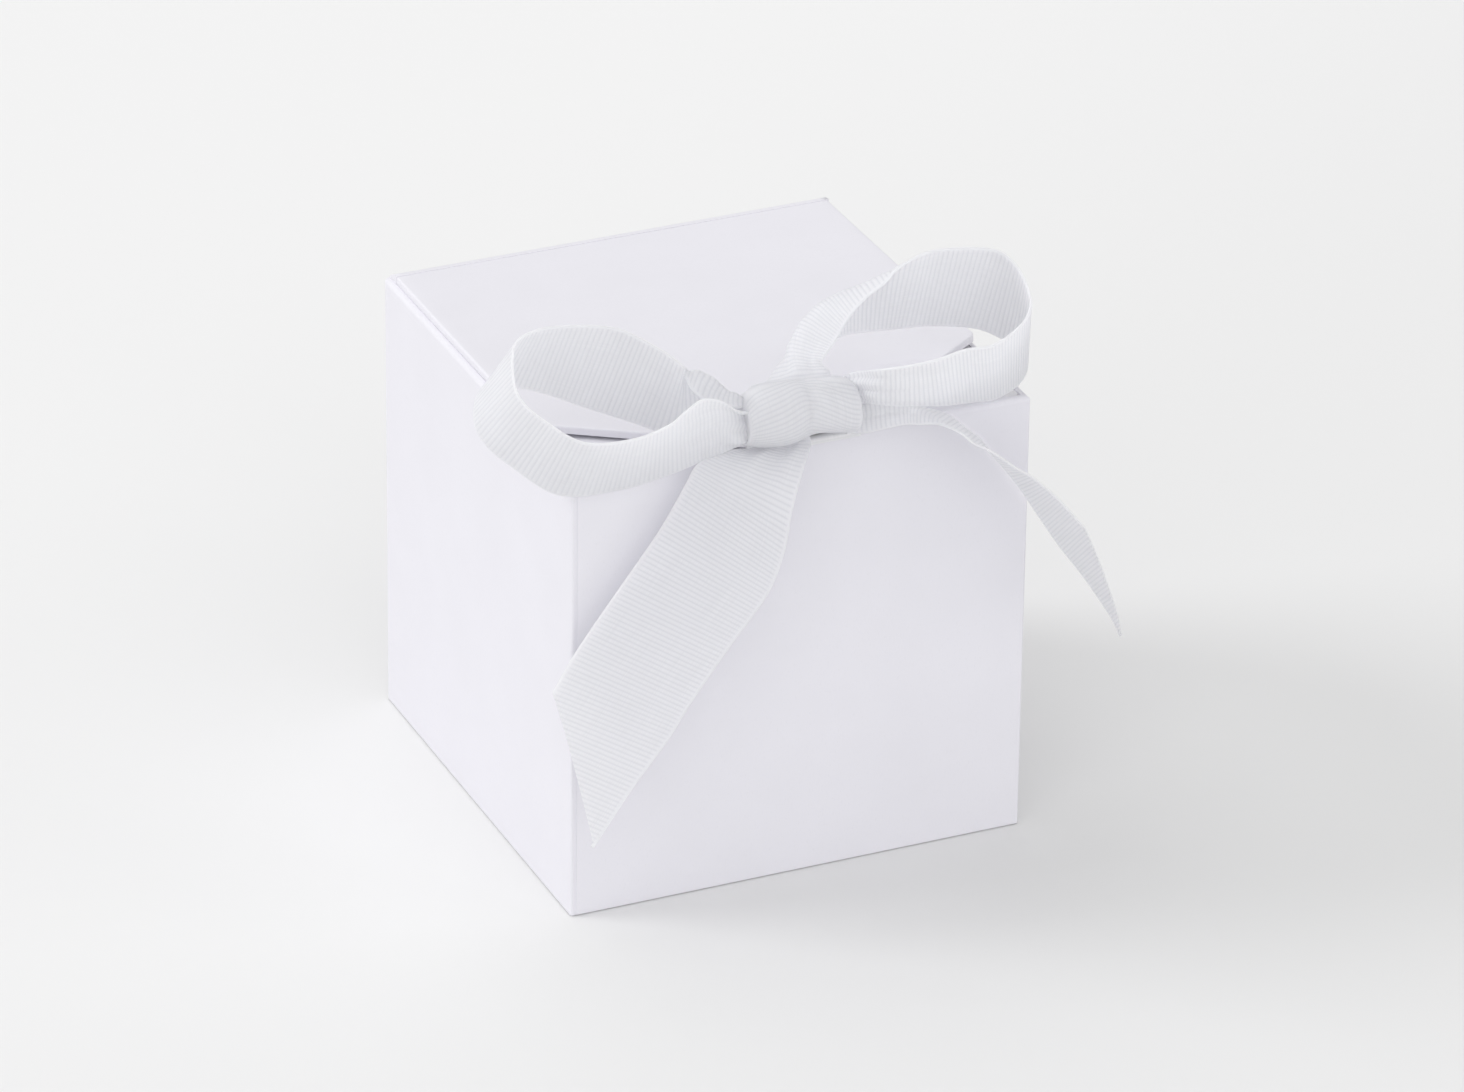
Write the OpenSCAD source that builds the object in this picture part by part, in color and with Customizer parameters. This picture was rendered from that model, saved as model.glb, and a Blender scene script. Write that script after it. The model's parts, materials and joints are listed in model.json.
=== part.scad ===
/* [Box] */
// Outside width, left to right
box_w = 100; // [80:1:140]
// Outside depth, front to back
box_d = 100; // [80:1:140]
// Height of the walls' top edge above the table
box_h = 98.5; // [70:0.5:140]

/* [Board and paper] */
// Thickness of the grey board inside every panel
board_t = 1.2; // [0.8:0.1:2]
// Thickness of the covering paper
paper_t = 0.2; // [0.15:0.05:0.3]
// Radius of the paper over the walls' top edges
edge_r = 1.1; // [0.7:0.1:1.3]
// Radius of the upright outer corners
corner_r = 0.6; // [0.4:0.1:0.9]
// Width of the covering paper turned in under a panel
turn_in = 12; // [6:1:18]
// Depth of the covering paper turned in over the rim
rim_turn = 5; // [3:0.5:12]
// Distance of the foot paper from the outside faces
base_inset = 3; // [1:0.5:8]
// Width of the line where the covering paper meets at the corner
seam_w = 0.4; // [0.2:0.1:0.8]
// Distance of that line from the corner
seam_in = 0.8; // [0.7:0.1:3]

/* [Lid] */
// Distance of the lid's side edges from the outside faces
lid_side_gap = 1.3; // [0.4:0.1:1.5]
// Length of the paper hinge behind the lid's board
lid_back_gap = 2.5; // [1.8:0.1:4]
// Width of the lid's front tongue
tongue_w = 26; // [16:1:50]
// Length of the slanting edges, measured front to back
lid_taper = 24; // [10:1:40]

/* [Dust flaps] */
// Distance of the flaps' upper face below the walls' top edge
flap_drop = 1; // [0.6:0.1:2]
// Width of the paper fold between a side wall and its flap
hinge_gap = 1.8; // [1.8:0.1:4]
// Distance of the flaps' ends from the front and back lining
flap_end_gap = 1.2; // [0.8:0.1:3]
// Distance between the two flaps at the middle
flap_mid_gap = 8; // [3:0.5:30]

/* [Ribbon] */
// Width of the ribbon
ribbon_w = 25; // [20:0.5:28]
// Thickness of the ribbon
ribbon_t = 0.4; // [0.3:0.05:0.6]
// Glued length of each ribbon end
ribbon_glue = 35; // [15:1:50]
// Depth of the ribbon slot in the front wall's top edge
slot_depth = 1.2; // [1.2:0.1:4]
// Free width of the slot on each side of the ribbon
slot_play = 0.5; // [0.3:0.1:3]
// Distance of the wall ribbon's end in front of the front face
ribbon_out = 0.4; // [0.1:0.1:0.6]

/* [Hidden] */

paper_color = [0.93, 0.92, 0.97];
lining_color = [0.96, 0.96, 0.96];
board_color = [0.74, 0.72, 0.68];
ribbon_color = [0.97, 0.97, 0.98];

overrun = 1;
round_faces = 48;

half_w = box_w / 2;
half_d = box_d / 2;
board_x = half_w - paper_t;
board_y = half_d - paper_t;
hollow_x = board_x - board_t;
hollow_y = board_y - board_t;
clear_x = hollow_x - paper_t;
clear_y = hollow_y - paper_t;
panel_t = board_t + 2 * paper_t;

wrap_bottom = paper_t;
base_bottom = wrap_bottom + paper_t;
wall_bottom = base_bottom + board_t;
floor_top = wall_bottom + paper_t;
wall_top = box_h - paper_t;
rim_bottom = box_h - rim_turn;

slot_w = ribbon_w + 2 * slot_play;
slot_floor = box_h - slot_depth;

lid_top = box_h + panel_t;
lid_x = half_w - lid_side_gap;
lid_back = half_d - lid_back_gap;
lid_shoulder = lid_taper - half_d;
lid_outline = [
  [-lid_x, lid_back], [-lid_x, lid_shoulder],
  [-tongue_w / 2, -half_d], [tongue_w / 2, -half_d],
  [lid_x, lid_shoulder], [lid_x, lid_back]
];

flap_top = box_h - flap_drop;
flap_root = clear_x - hinge_gap;
flap_end = flap_mid_gap / 2;
flap_len = flap_root - flap_end;
flap_y = clear_y - flap_end_gap;

strip_steps = 5;
knot_faces = 28;

// Ribbon bands in ribbon widths: lower rim x, y, z, then the width's direction, then the width.
// Measured from the middle of the lid's front edge, on its upper face.
left_loop_shares = [
  [-0.56, 0.02, 0.10, 0, -0.30, 0.95, 0.34],
  [-0.68, 0.05, 0.08, -0.03, -0.45, 0.88, 0.50],
  [-0.94, 0.12, 0.05, -0.06, -0.55, 0.82, 0.76],
  [-1.36, 0.34, 0.20, 0.06, -0.48, 0.87, 0.98],
  [-1.68, 0.52, 0.31, 0.07, -0.45, 0.88, 1],
  [-2.00, 0.68, 0.43, -0.02, -0.56, 0.82, 1],
  [-2.42, 0.77, 0.50, 0.02, -0.66, 0.74, 1],
  [-2.62, 0.56, 0.34, 0.05, -0.70, 0.71, 1],
  [-2.46, 0.22, 0.10, 0, -0.69, 0.72, 1],
  [-2.14, -0.08, -0.10, -0.06, -0.63, 0.77, 1],
  [-1.64, -0.14, -0.12, -0.17, -0.62, 0.77, 1],
  [-1.22, -0.14, -0.08, -0.25, -0.58, 0.78, 0.96],
  [-0.86, -0.14, -0.03, -0.22, -0.56, 0.80, 0.76],
  [-0.68, -0.16, 0.02, -0.10, -0.50, 0.86, 0.54],
  [-0.56, -0.17, 0.06, 0, -0.35, 0.93, 0.36]
];
right_loop_shares = [
  [0.48, -0.16, 0.12, 0, -0.25, 0.97, 0.30],
  [0.66, -0.17, 0.24, -0.35, -0.50, 0.80, 0.56],
  [0.86, -0.28, 0.20, -0.36, -0.52, 0.78, 0.72],
  [1.08, -0.28, 0.16, -0.35, -0.54, 0.77, 0.88],
  [1.36, -0.19, 0.09, -0.32, -0.54, 0.78, 1],
  [1.64, -0.10, 0.03, -0.30, -0.54, 0.79, 1],
  [1.90, 0.04, 0.02, -0.26, -0.51, 0.82, 1],
  [2.08, 0.32, 0.14, -0.20, -0.54, 0.82, 1],
  [1.95, 0.49, 0.25, -0.10, -0.49, 0.87, 1],
  [1.74, 0.60, 0.33, -0.03, -0.44, 0.90, 1],
  [1.39, 0.70, 0.37, -0.09, -0.48, 0.88, 1],
  [1.07, 0.76, 0.38, -0.20, -0.57, 0.79, 1],
  [0.68, 0.98, 0.62, -0.08, -0.90, 0.40, 0.84],
  [0.40, 0.84, 0.58, 0.10, -0.94, 0.33, 0.68],
  [0.18, 0.68, 0.50, 0.22, -0.93, 0.27, 0.56],
  [-0.06, 0.46, 0.43, 0.43, -0.86, 0.26, 0.48],
  [-0.24, 0.28, 0.43, 0.90, -0.40, 0.12, 0.50]
];
front_tail_shares = [
  [-0.48, -0.05, -0.06, 0.98, -0.13, 0.06, 0.46],
  [-0.74, -0.06, 0, 0.83, -0.52, -0.15, 0.66],
  [-0.95, -0.06, -0.07, 0.67, -0.67, -0.31, 0.86],
  [-1.06, -0.06, -0.24, 0.63, -0.63, -0.44, 0.96],
  [-1.28, -0.06, -0.60, 0.69, -0.58, -0.42, 1],
  [-1.66, -0.06, -1.10, 0.74, -0.57, -0.36, 1],
  [-1.99, -0.06, -1.55, 0.74, -0.58, -0.33, 1],
  [-2.19, -0.06, -1.87, 0.75, -0.59, -0.28, 1],
  [-2.44, -0.06, -2.27, 0.73, -0.62, -0.28, 0.95],
  [-2.73, -0.06, -2.76, 0.72, -0.65, -0.26, 0.91]
];
side_tail_shares = [
  [0.48, -0.04, -0.01, 0, 0, 1, 0.20],
  [0.72, -0.05, -0.05, 0, -0.10, 1, 0.24],
  [0.98, -0.06, -0.06, -0.10, -0.50, 0.85, 0.26],
  [1.16, -0.06, -0.06, -0.35, -0.85, 0.40, 0.50],
  [1.31, -0.06, -0.12, -0.47, -0.79, 0.39, 0.73],
  [1.52, -0.06, -0.32, -0.44, -0.80, 0.42, 1],
  [1.66, -0.06, -0.52, -0.33, -0.84, 0.44, 1],
  [1.83, -0.08, -0.76, -0.28, -0.82, 0.50, 1],
  [2.06, -0.10, -1.13, -0.22, -0.79, 0.57, 1],
  [2.24, -0.12, -1.42, -0.19, -0.78, 0.60, 1],
  [2.42, -0.14, -1.68, -0.18, -0.78, 0.60, 1],
  [2.60, -0.16, -1.98, -0.19, -0.79, 0.58, 1],
  [2.79, -0.18, -2.32, -0.20, -0.79, 0.58, 1]
];
// Where the slanting cut of each tail starts, and which rim it takes away.
front_tail_cut_share = 0.78;
side_tail_cut_share = 0.75;
cut_tip_share = 0.97;
uncut_share = 1;

// Knot in ribbon widths: place along the front edge, middle y, middle z, depth, height.
knot_shares = [
  [-0.56, -0.08, 0.22, 0.17, 0.16],
  [-0.46, -0.08, 0.24, 0.25, 0.21],
  [-0.34, -0.09, 0.26, 0.30, 0.24],
  [-0.16, -0.09, 0.27, 0.31, 0.26],
  [0.08, -0.09, 0.27, 0.31, 0.26],
  [0.26, -0.08, 0.26, 0.28, 0.24],
  [0.38, -0.08, 0.24, 0.23, 0.20],
  [0.48, -0.08, 0.22, 0.17, 0.15]
];

function unit(v) = v / norm(v);

// Point of a smooth curve between b and c.
function between(a, b, c, d, t) =
  (2 * b + (c - a) * t + (2 * a - 5 * b + 4 * c - d) * t * t
  + (3 * b - 3 * c + d - a) * t * t * t) / 2;

function smooth_rows(rows, steps) = let (last = len(rows) - 1) [
  for (i = [0 : last - 1], k = [0 : steps - 1])
    let (
      before = i == 0 ? 2 * rows[0] - rows[1] : rows[i - 1],
      after = i + 1 == last ? 2 * rows[last] - rows[last - 1] : rows[i + 2]
    )
    between(before, rows[i], rows[i + 1], after, k / steps),
  rows[last]
];

function row_low(r) = [r[0], r[1], r[2]] * ribbon_w;
function row_high(r) = row_low(r) + unit([r[3], r[4], r[5]]) * r[6] * ribbon_w;

// Share of the width that the slanting cut has taken away at row i.
function cut_at(i, last, from_share) =
  from_share < uncut_share ? max(0, (i / last - from_share) / (1 - from_share)) * cut_tip_share : 0;

// Paper panel outline moved inwards by d.
function inset(outline, d) = [
  for (i = [0 : len(outline) - 1])
    let (
      p = outline[i],
      q = outline[(i + 1) % len(outline)],
      o = outline[(i + len(outline) - 1) % len(outline)],
      a = unit(p - o),
      b = unit(q - p),
      m = [-a[1], a[0]],
      n = [-b[1], b[0]]
    )
    p + (m + n) * d / (1 + m * n)
];

// Band of ribbon along a table of rows.
module ribbon_band(shares, low_cut_share, high_cut_share) {
  rows = smooth_rows(shares, strip_steps);
  last = len(rows) - 1;
  lows = [
    for (i = [0 : last])
      row_low(rows[i]) + (row_high(rows[i]) - row_low(rows[i])) * cut_at(i, last, low_cut_share)
  ];
  highs = [
    for (i = [0 : last])
      row_high(rows[i]) + (row_low(rows[i]) - row_high(rows[i])) * cut_at(i, last, high_cut_share)
  ];
  mids = [for (r = rows) (row_low(r) + row_high(r)) / 2];
  lifts = [
    for (i = [0 : last])
      unit(cross(mids[min(i + 1, last)] - mids[max(i - 1, 0)], row_high(rows[i]) - row_low(rows[i])))
      * ribbon_t / 2
  ];
  corners = [
    for (i = [0 : last])
      each [lows[i] + lifts[i], highs[i] + lifts[i], highs[i] - lifts[i], lows[i] - lifts[i]]
  ];
  sides = [
    for (i = [0 : last - 1], k = [0 : 3])
      let (a = 4 * i, b = 4 * (i + 1), n = (k + 1) % 4)
      each [[a + k, b + k, b + n], [a + k, b + n, a + n]]
  ];
  ends = [
    [0, 1, 2], [0, 2, 3],
    [4 * last + 2, 4 * last + 1, 4 * last], [4 * last + 3, 4 * last + 2, 4 * last]
  ];
  translate([0, -half_d, lid_top])
    polyhedron(points = corners, faces = concat(sides, ends), convexity = 10);
}

// Smooth body through a row of upright ovals.
module knot_body() {
  rows = smooth_rows(knot_shares, strip_steps);
  last = len(rows) - 1;
  rim = [
    for (r = rows, k = [0 : knot_faces - 1])
      let (angle = 360 * k / knot_faces)
      [r[0], r[1] + r[3] * cos(angle), r[2] + r[4] * sin(angle)] * ribbon_w
  ];
  sides = [
    for (i = [0 : last - 1], k = [0 : knot_faces - 1])
      let (a = knot_faces * i, b = knot_faces * (i + 1), n = (k + 1) % knot_faces)
      each [[a + k, b + n, b + k], [a + k, a + n, b + n]]
  ];
  first_end = [for (k = [0 : knot_faces - 1]) knot_faces - 1 - k];
  last_end = [for (k = [0 : knot_faces - 1]) knot_faces * last + k];
  translate([0, -half_d, lid_top])
    polyhedron(points = rim, faces = concat(sides, [first_end], [last_end]), convexity = 4);
}

// Box between two corners.
module block(low, high) {
  translate(low) cube(high - low);
}

// Flat outline with its upper corners rounded, standing on the origin's line.
module round_top(low_x, high_x, low_z, high_z, r, round_high) {
  difference() {
    translate([low_x, low_z]) square([high_x - low_x, high_z - low_z]);
    translate([low_x - overrun, high_z - r]) square([overrun + r, overrun + r]);
    if (round_high) translate([high_x - r, high_z - r]) square([overrun + r, overrun + r]);
  }
  translate([low_x + r, high_z - r]) circle(r = r, $fn = round_faces);
  if (round_high) translate([high_x - r, high_z - r]) circle(r = r, $fn = round_faces);
}

module round_plan(x, y, r) {
  square([2 * x, 2 * (y - r)], center = true);
  square([2 * (x - r), 2 * y], center = true);
  for (sx = [-1, 1], sy = [-1, 1])
    translate([sx * (x - r), sy * (y - r)]) circle(r = r, $fn = round_faces);
}

// Block with rounded upright corners and rounded front and side top edges.
module wrapped_block(x, y, low_z, high_z, top_r, upright_r) {
  intersection() {
    translate([0, 0, low_z]) linear_extrude(high_z - low_z) round_plan(x, y, upright_r);
    translate([0, y, 0]) rotate([90, 0, 0]) linear_extrude(2 * y)
      round_top(-x, x, low_z, high_z, top_r, true);
    translate([-x, 0, 0]) rotate([90, 0, 90]) linear_extrude(2 * x)
      round_top(-y, y, low_z, high_z, top_r, false);
  }
}

// Outline of the boards' assembly from the given height up to the walls' top.
module board_block(low_z) {
  wrapped_block(board_x, board_y, low_z, wall_top, edge_r - paper_t, corner_r - paper_t);
}

module ribbon_slot() {
  block([-slot_w / 2, -half_d - overrun, slot_floor], [slot_w / 2, -clear_y + overrun, box_h + overrun]);
}

module base_paper() {
  color(paper_color) {
    block([base_inset - half_w, base_inset - half_d, 0], [half_w - base_inset, half_d - base_inset, paper_t]);
    block(
      [turn_in - half_w, turn_in - half_d, paper_t],
      [half_w - turn_in, half_d - turn_in, base_bottom]
    );
  }
}

module base_board() {
  color(board_color)
    translate([0, 0, base_bottom]) linear_extrude(board_t)
      round_plan(board_x, board_y, corner_r - paper_t);
}

module front_board() {
  color(board_color)
    difference() {
      intersection() {
        board_block(wall_bottom);
        block([-hollow_x, -half_d, 0], [hollow_x, -hollow_y, box_h]);
      }
      ribbon_slot();
    }
}

module back_board() {
  color(board_color)
    intersection() {
      board_block(wall_bottom);
      block([-hollow_x, hollow_y, 0], [hollow_x, half_d, box_h]);
    }
}

module left_board() {
  color(board_color)
    intersection() {
      board_block(wall_bottom);
      block([-half_w, -half_d, 0], [-hollow_x, half_d, box_h]);
    }
}

module right_board() {
  color(board_color)
    intersection() {
      board_block(wall_bottom);
      block([hollow_x, -half_d, 0], [half_w, half_d, box_h]);
    }
}

module wall_wrap() {
  color(paper_color)
    difference() {
      wrapped_block(half_w, half_d, wrap_bottom, box_h, edge_r, corner_r);
      // Room for the boards, and the hollow up to the paper turned in over the rim
      difference() {
        board_block(base_bottom);
        block([-hollow_x, -hollow_y, rim_bottom], [hollow_x, hollow_y, box_h]);
      }
      // Hollow at the paper turned in over the rim
      block([-clear_x, -clear_y, rim_bottom - overrun], [clear_x, clear_y, box_h + overrun]);
      // Middle of the bottom, between the turned-in borders
      block(
        [turn_in - half_w, turn_in - half_d, -overrun],
        [half_w - turn_in, half_d - turn_in, base_bottom + overrun]
      );
      ribbon_slot();
      // Line where the paper meets
      block(
        [seam_in - half_w, -half_d - overrun, -overrun],
        [seam_in + seam_w - half_w, paper_t / 2 - half_d, box_h + overrun]
      );
    }
}

module inner_lining() {
  color(lining_color)
    difference() {
      block([-hollow_x, -hollow_y, wall_bottom], [hollow_x, hollow_y, rim_bottom]);
      block([-clear_x, -clear_y, floor_top], [clear_x, clear_y, rim_bottom + overrun]);
    }
}

// Sloping paper between the right wall's rim and the right flap.
module fold_paper() {
  fold = [
    [clear_x, box_h - paper_t], [clear_x, box_h],
    [flap_root, flap_top], [flap_root, flap_top - paper_t]
  ];
  color(paper_color)
    translate([0, flap_y, 0]) rotate([90, 0, 0]) linear_extrude(2 * flap_y) polygon(fold);
}

module left_fold() {
  mirror([1, 0, 0]) fold_paper();
}

module right_fold() {
  fold_paper();
}

module wall_ribbon() {
  run = [
    [-clear_y, slot_floor - ribbon_glue], [ribbon_t - clear_y, slot_floor - ribbon_glue],
    [ribbon_t - clear_y, slot_floor + ribbon_t], [-half_d - ribbon_out, slot_floor + ribbon_t],
    [-half_d - ribbon_out, slot_floor], [-clear_y, slot_floor]
  ];
  color(ribbon_color)
    translate([-ribbon_w / 2, 0, 0]) rotate([90, 0, 90]) linear_extrude(ribbon_w) polygon(run);
}

module lid_board() {
  color(board_color)
    translate([0, 0, box_h + paper_t]) linear_extrude(board_t) polygon(inset(lid_outline, paper_t));
}

module lid_wrap() {
  color(paper_color)
    difference() {
      translate([0, 0, box_h]) linear_extrude(panel_t) polygon(lid_outline);
      translate([0, 0, box_h + paper_t]) linear_extrude(board_t)
        polygon(inset(lid_outline, paper_t));
      translate([0, 0, box_h - overrun]) linear_extrude(overrun + paper_t + board_t / 2)
        polygon(inset(lid_outline, turn_in));
    }
}

module lid_lining() {
  color(lining_color)
    translate([0, 0, box_h]) linear_extrude(paper_t) polygon(inset(lid_outline, turn_in));
}

module lid_hinge_strip() {
  slope = (lid_top - box_h) / lid_back_gap;
  foot = paper_t * sqrt(1 + slope * slope) / slope;
  strip = [
    [half_d, box_h], [lid_back, lid_top],
    [lid_back, lid_top - foot * slope], [half_d - foot, box_h]
  ];
  color(paper_color)
    translate([-lid_x, 0, 0]) rotate([90, 0, 90]) linear_extrude(2 * lid_x) polygon(strip);
}

module lid_ribbon() {
  run = [
    [ribbon_glue - half_d, box_h], [-half_d, box_h], [-half_d, lid_top],
    [-half_d - ribbon_t, lid_top], [-half_d - ribbon_t, box_h - ribbon_t],
    [ribbon_glue - half_d, box_h - ribbon_t]
  ];
  color(ribbon_color)
    translate([-ribbon_w / 2, 0, 0]) rotate([90, 0, 90]) linear_extrude(ribbon_w) polygon(run);
}

// Right flap's outline seen from its end, as paper, board and lining.
module flap_layer(low_z, high_z, x_in) {
  block([flap_end + x_in, x_in - flap_y, low_z], [flap_root - x_in, flap_y - x_in, high_z]);
}

module flap_board() {
  color(board_color) flap_layer(flap_top - paper_t - board_t, flap_top - paper_t, paper_t);
}

module flap_wrap() {
  color(paper_color)
    difference() {
      flap_layer(flap_top - paper_t - board_t, flap_top, 0);
      flap_layer(flap_top - panel_t, flap_top - paper_t, paper_t);
    }
}

module flap_lining() {
  color(lining_color) flap_layer(flap_top - panel_t, flap_top - panel_t + paper_t, 0);
}

module left_flap_board() {
  mirror([1, 0, 0]) flap_board();
}

module left_flap_wrap() {
  mirror([1, 0, 0]) flap_wrap();
}

module left_flap_lining() {
  mirror([1, 0, 0]) flap_lining();
}

module right_flap_board() {
  flap_board();
}

module right_flap_wrap() {
  flap_wrap();
}

module right_flap_lining() {
  flap_lining();
}

module bow_knot() {
  color(ribbon_color) knot_body();
}

module left_loop() {
  color(ribbon_color) ribbon_band(left_loop_shares, uncut_share, uncut_share);
}

module right_loop() {
  color(ribbon_color) ribbon_band(right_loop_shares, uncut_share, uncut_share);
}

module front_tail() {
  color(ribbon_color) ribbon_band(front_tail_shares, front_tail_cut_share, uncut_share);
}

module side_tail() {
  color(ribbon_color) ribbon_band(side_tail_shares, uncut_share, side_tail_cut_share);
}

base_paper();
base_board();
front_board();
back_board();
left_board();
right_board();
wall_wrap();
inner_lining();
left_fold();
right_fold();
wall_ribbon();
lid_board();
lid_wrap();
lid_lining();
lid_hinge_strip();
lid_ribbon();
left_flap_board();
left_flap_wrap();
left_flap_lining();
right_flap_board();
right_flap_wrap();
right_flap_lining();
bow_knot();
left_loop();
right_loop();
front_tail();
side_tail();
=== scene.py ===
"""Looks of a favor box: a wrapped board cube with a hinged lid, dust flaps and a tied ribbon bow."""

import json
import math

import bpy
import numpy as np
from mathutils import Matrix, Vector


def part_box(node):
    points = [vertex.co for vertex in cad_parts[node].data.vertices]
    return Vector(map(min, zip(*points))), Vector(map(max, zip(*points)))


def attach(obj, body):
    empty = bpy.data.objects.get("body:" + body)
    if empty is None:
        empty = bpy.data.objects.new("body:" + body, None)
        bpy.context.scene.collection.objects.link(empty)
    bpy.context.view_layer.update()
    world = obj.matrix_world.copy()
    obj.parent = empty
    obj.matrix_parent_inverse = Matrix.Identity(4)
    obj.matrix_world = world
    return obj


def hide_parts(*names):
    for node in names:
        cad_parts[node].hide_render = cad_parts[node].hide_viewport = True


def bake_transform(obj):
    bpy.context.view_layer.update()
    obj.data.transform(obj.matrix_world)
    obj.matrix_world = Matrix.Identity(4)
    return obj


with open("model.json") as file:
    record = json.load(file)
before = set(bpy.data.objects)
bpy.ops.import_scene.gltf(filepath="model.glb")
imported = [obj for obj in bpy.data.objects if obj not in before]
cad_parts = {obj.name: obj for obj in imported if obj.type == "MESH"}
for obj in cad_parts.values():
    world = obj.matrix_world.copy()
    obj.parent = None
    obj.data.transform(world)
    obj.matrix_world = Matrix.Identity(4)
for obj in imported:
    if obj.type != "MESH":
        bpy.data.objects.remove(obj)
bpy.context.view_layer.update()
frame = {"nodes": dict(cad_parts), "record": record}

MM = 0.001
TINY = 1e-9
SIDES = (("left", -1), ("right", 1))

# Sizes of the box and its lid, in millimetres, read from the frame.
BOX_LOW, BOX_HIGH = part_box("wall_wrap")
FRONT_Y = BOX_LOW.y / MM
RIM_Z = BOX_HIGH.z / MM
LID_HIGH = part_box("lid_wrap")[1]
LID_X = LID_HIGH.x / MM
LID_BACK = LID_HIGH.y / MM
LID_TOP = LID_HIGH.z / MM

# The ribbon, in millimetres; W is a width and T a thickness.
RIBBON_W = 25.0
RIBBON_T = 0.34
RIB_PITCH = 0.97
RIB_HEIGHT = 0.09
SELVEDGE_W = 0.7
THIN_EDGE_W = 0.05

# Shares of the selvedge's width: where the ribs begin beside it, over what width they rise to their full
# height, and where the first column past it lies.
RIBS_FROM_SHARE = 0.5
RIBS_RISE_SHARE = 0.6
FIRST_COLUMN_SHARE = 1.6

# The selvedge's height as a share of a rib's, and the share of the whole rise that is left at its very edge.
SELVEDGE_RISE_SHARE = 0.75
THIN_EDGE_SHARE = 0.55

# How round a rib's section is, and how narrow the painted shade in the valley between two ribs.
RIB_ROUNDNESS = 0.8
PAINTED_SHADE_SHARPNESS = 1.5

# How finely a ribbon is drawn: points along each rib, columns across the band, steps between two rows of a
# table, and steps between two points of a row.
RIB_SAMPLES = 5
BAND_COLUMNS = 27
ROW_STEPS = 30
SECTION_STEPS = 12

# Gathers: waves across the band, their drift for each millimetre along it, the half turns and the share of
# their fine waves, and how fast they rise from nothing at a selvedge.
GATHER_WAVES = 2.6
GATHER_DRIFT = 0.02
FINE_HALF_TURNS = 11
FINE_SHARE = 0.35
GATHER_FADE = 9

# A slanting cut stops just short of a point.
CUT_END = 0.97


# Materials


def new_material(name, roughness, specular=0.5, sheen=0.0, sheen_roughness=0.4):
    """A Principled material and the handles that the makers below use."""
    mat = bpy.data.materials.new(name)
    mat.use_nodes = True
    nodes, links = mat.node_tree.nodes, mat.node_tree.links
    nodes.clear()
    out = nodes.new("ShaderNodeOutputMaterial")
    shader = nodes.new("ShaderNodeBsdfPrincipled")
    shader.inputs["Roughness"].default_value = roughness
    shader.inputs["Specular IOR Level"].default_value = specular
    shader.inputs["Sheen Weight"].default_value = sheen
    shader.inputs["Sheen Roughness"].default_value = sheen_roughness
    links.new(shader.outputs["BSDF"], out.inputs["Surface"])
    return mat, nodes, links, shader


def object_coords(nodes, links, scale):
    coords = nodes.new("ShaderNodeTexCoord")
    mapping = nodes.new("ShaderNodeMapping")
    mapping.inputs["Scale"].default_value = scale
    links.new(coords.outputs["Object"], mapping.inputs["Vector"])
    return mapping.outputs["Vector"]


def noise(nodes, links, vector, scale, detail, roughness=0.5):
    tex = nodes.new("ShaderNodeTexNoise")
    tex.inputs["Scale"].default_value = scale
    tex.inputs["Detail"].default_value = detail
    tex.inputs["Roughness"].default_value = roughness
    links.new(vector, tex.inputs["Vector"])
    return tex.outputs["Fac"]


def ramp(nodes, links, fac, stops):
    node = nodes.new("ShaderNodeValToRGB")
    while len(node.color_ramp.elements) < len(stops):
        node.color_ramp.elements.new(0.5)
    for element, (place, colour) in zip(node.color_ramp.elements, stops):
        element.position = place
        element.color = (*colour, 1.0)
    links.new(fac, node.inputs["Fac"])
    return node.outputs["Color"]


def mix_colour(nodes, links, fac, a, b):
    node = nodes.new("ShaderNodeMix")
    node.data_type = "RGBA"
    links.new(fac, node.inputs["Factor"])
    for socket, value in ((node.inputs[6], a), (node.inputs[7], b)):
        if isinstance(value, tuple):
            socket.default_value = (*value, 1.0)
        else:
            links.new(value, socket)
    return node.outputs[2]


def bump(nodes, links, shader, height, strength, distance, base=None):
    node = nodes.new("ShaderNodeBump")
    node.inputs["Strength"].default_value = strength
    node.inputs["Distance"].default_value = distance
    links.new(height, node.inputs["Height"])
    if base is not None:
        links.new(base, node.inputs["Normal"])
    links.new(node.outputs["Normal"], shader.inputs["Normal"])
    return node.outputs["Normal"]


def attribute(nodes, name):
    node = nodes.new("ShaderNodeAttribute")
    node.attribute_name = name
    return node.outputs["Fac"]


def shade(colour, factor):
    return tuple(min(1.0, c * factor) for c in colour)


def paper_material(name, colour, roughness, fibre, specular):
    """Coated paper: a faint cloudy tone, short fibres and a slightly uneven surface."""
    mat, nodes, links, shader = new_material(name, roughness, specular)
    even = object_coords(nodes, links, scale=(1.0, 1.0, 1.0))
    along = object_coords(nodes, links, scale=(1.0, 1.0, 0.35))
    cloud = noise(nodes, links, even, scale=60.0, detail=4.0)
    tone = ramp(nodes, links, cloud, [(0.3, shade(colour, 0.988)), (0.7, shade(colour, 1.008))])
    fibres = noise(nodes, links, along, scale=2600.0, detail=2.0, roughness=0.6)
    flecks = ramp(nodes, links, fibres, [(0.30, (0.0, 0.0, 0.0)), (0.42, (1.0, 1.0, 1.0))])
    toned = mix_colour(nodes, links, flecks, shade(colour, 0.975), tone)
    links.new(toned, shader.inputs["Base Color"])
    waves = bump(nodes, links, shader, cloud, strength=0.06, distance=0.0006)
    bump(nodes, links, shader, fibres, strength=fibre, distance=0.00004, base=waves)
    return mat


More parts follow.
